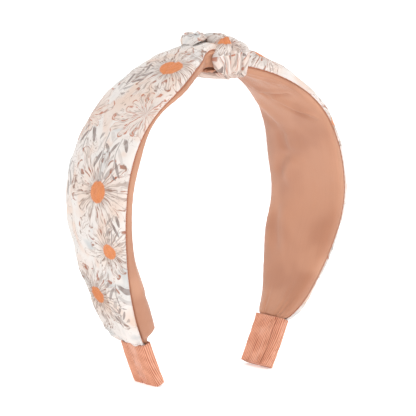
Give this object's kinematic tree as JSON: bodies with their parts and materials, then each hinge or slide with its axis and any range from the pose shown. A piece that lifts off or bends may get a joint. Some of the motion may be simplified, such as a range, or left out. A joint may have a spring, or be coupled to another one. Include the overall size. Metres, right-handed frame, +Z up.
{
  "type": "knotted headband",
  "caption": "Springy open hoop for the hair: a wide padded cloth band with a printed outside and satin lining, knotted at the crown and ribbon-wrapped at the tips.",
  "frame": {"origin": "centre of the hoop's width and depth, on the surface that its two tips stand on", "axes": "+Z up, from the tips to the knot; +X to the right-hand limb; +Y towards the back edge of the band, so the front edge is at -Y"},
  "size_m": [0.1327, 0.0449, 0.1515],
  "materials": {
    "hoop_plastic": "moulded, satin",
    "wadding": "soft polyester wadding",
    "printed_chiffon": "crinkled ivory chiffon with a pale floral print",
    "peach_satin": "smooth satin weave with a soft sheen",
    "grosgrain_ribbon": "ribbed grosgrain",
    "rust_thread": "spun sewing thread",
    "hot_melt_glue": "set glue, slightly glossy"
  },
  "bodies": {
    "crown": {"core_crown": "hoop_plastic", "glue_crown": "hot_melt_glue", "lining_crown": "peach_satin", "knot_inner": "printed_chiffon", "knot_wrap": "printed_chiffon", "knot_tuck": "printed_chiffon", "knot_loop": "printed_chiffon"},
    "left_limb": {"core_left": "hoop_plastic", "pad_left": "wadding", "cover_left": "printed_chiffon", "lining_left": "peach_satin", "seam_front_left": "rust_thread", "seam_back_left": "rust_thread", "ribbon_left": "grosgrain_ribbon", "ribbon_end_left": "grosgrain_ribbon", "glue_tip_left": "hot_melt_glue"},
    "right_limb": {"core_right": "hoop_plastic", "pad_right": "wadding", "cover_right": "printed_chiffon", "lining_right": "peach_satin", "seam_front_right": "rust_thread", "seam_back_right": "rust_thread", "ribbon_right": "grosgrain_ribbon", "ribbon_end_right": "grosgrain_ribbon", "glue_tip_right": "hot_melt_glue"}
  },
  "joints": [
    {"name": "hinge_left", "type": "hinge", "parent": "crown", "child": "left_limb", "pos_m": [-0.01191, 0, 0.13773], "axis": [0, 1, 0], "range_deg": [-4, 14], "stiffness_Nm_per_rad": 1.5},
    {"name": "hinge_right", "type": "hinge", "parent": "crown", "child": "right_limb", "pos_m": [0.01191, 0, 0.13773], "axis": [0, -1, 0], "range_deg": [-4, 14], "stiffness_Nm_per_rad": 1.5}
  ]
}
